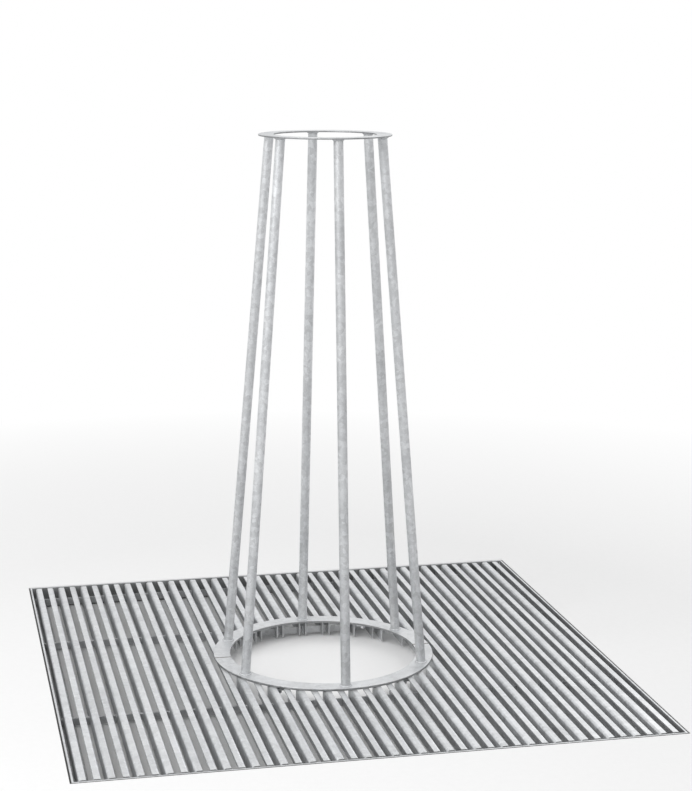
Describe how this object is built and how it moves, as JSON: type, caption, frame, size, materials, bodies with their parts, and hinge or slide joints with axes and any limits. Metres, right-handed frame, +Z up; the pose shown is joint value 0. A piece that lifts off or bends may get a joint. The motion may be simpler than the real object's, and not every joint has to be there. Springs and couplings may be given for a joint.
{
  "type": "tree guard",
  "caption": "Tapered round-bar tree guard on a split base ring, standing on a square slatted tree grate in an angle pit frame.",
  "frame": {"origin": "middle of the underside of the pit frame, under the guard's axis", "axes": "+Z up along the guard's axis, +X to the right along the front side of the frame, +Y to the rear, along the slats"},
  "size_m": [1.5, 1.5, 1.464],
  "materials": {
    "frame_steel": "hot-dip galvanised, dull",
    "slat_steel": "hot-dip galvanised, satin with fine spangle",
    "carrier_steel": "hot-dip galvanised, dull",
    "ring_steel": "hot-dip galvanised, satin",
    "rod_steel": "hot-dip galvanised, satin",
    "zinc_fixings": "bright zinc plated"
  },
  "bodies": {
    "root": {"frame_side_front": "frame_steel", "frame_side_right": "frame_steel", "frame_side_rear": "frame_steel", "frame_side_left": "frame_steel", "left_carrier_front_outer": "carrier_steel", "left_carrier_front_inner": "carrier_steel", "left_carrier_rear_inner": "carrier_steel", "left_carrier_rear_outer": "carrier_steel", "right_carrier_front_outer": "carrier_steel", "right_carrier_front_inner": "carrier_steel", "right_carrier_rear_inner": "carrier_steel", "right_carrier_rear_outer": "carrier_steel", "left_slats_01": "slat_steel", "left_slats_02": "slat_steel", "left_slats_03": "slat_steel", "left_slats_04": "slat_steel", "left_slats_05": "slat_steel", "left_slats_06": "slat_steel", "left_slats_07": "slat_steel", "left_slats_08": "slat_steel", "left_slats_09": "slat_steel", "left_slats_10": "slat_steel", "left_slats_11": "slat_steel", "right_slats_01": "slat_steel", "right_slats_02": "slat_steel", "right_slats_03": "slat_steel", "right_slats_04": "slat_steel", "right_slats_05": "slat_steel", "right_slats_06": "slat_steel", "right_slats_07": "slat_steel", "right_slats_08": "slat_steel", "right_slats_09": "slat_steel", "right_slats_10": "slat_steel", "right_slats_11": "slat_steel", "base_ring_front": "ring_steel", "base_ring_rear": "ring_steel", "guard_rod_1": "rod_steel", "guard_rod_2": "rod_steel", "guard_rod_3": "rod_steel", "guard_rod_4": "rod_steel", "guard_rod_5": "rod_steel", "guard_rod_6": "rod_steel", "top_ring": "ring_steel", "ring_studs": "zinc_fixings", "clamp_plates": "zinc_fixings", "clamp_washers": "zinc_fixings", "clamp_nuts": "zinc_fixings"}
  },
  "joints": []
}
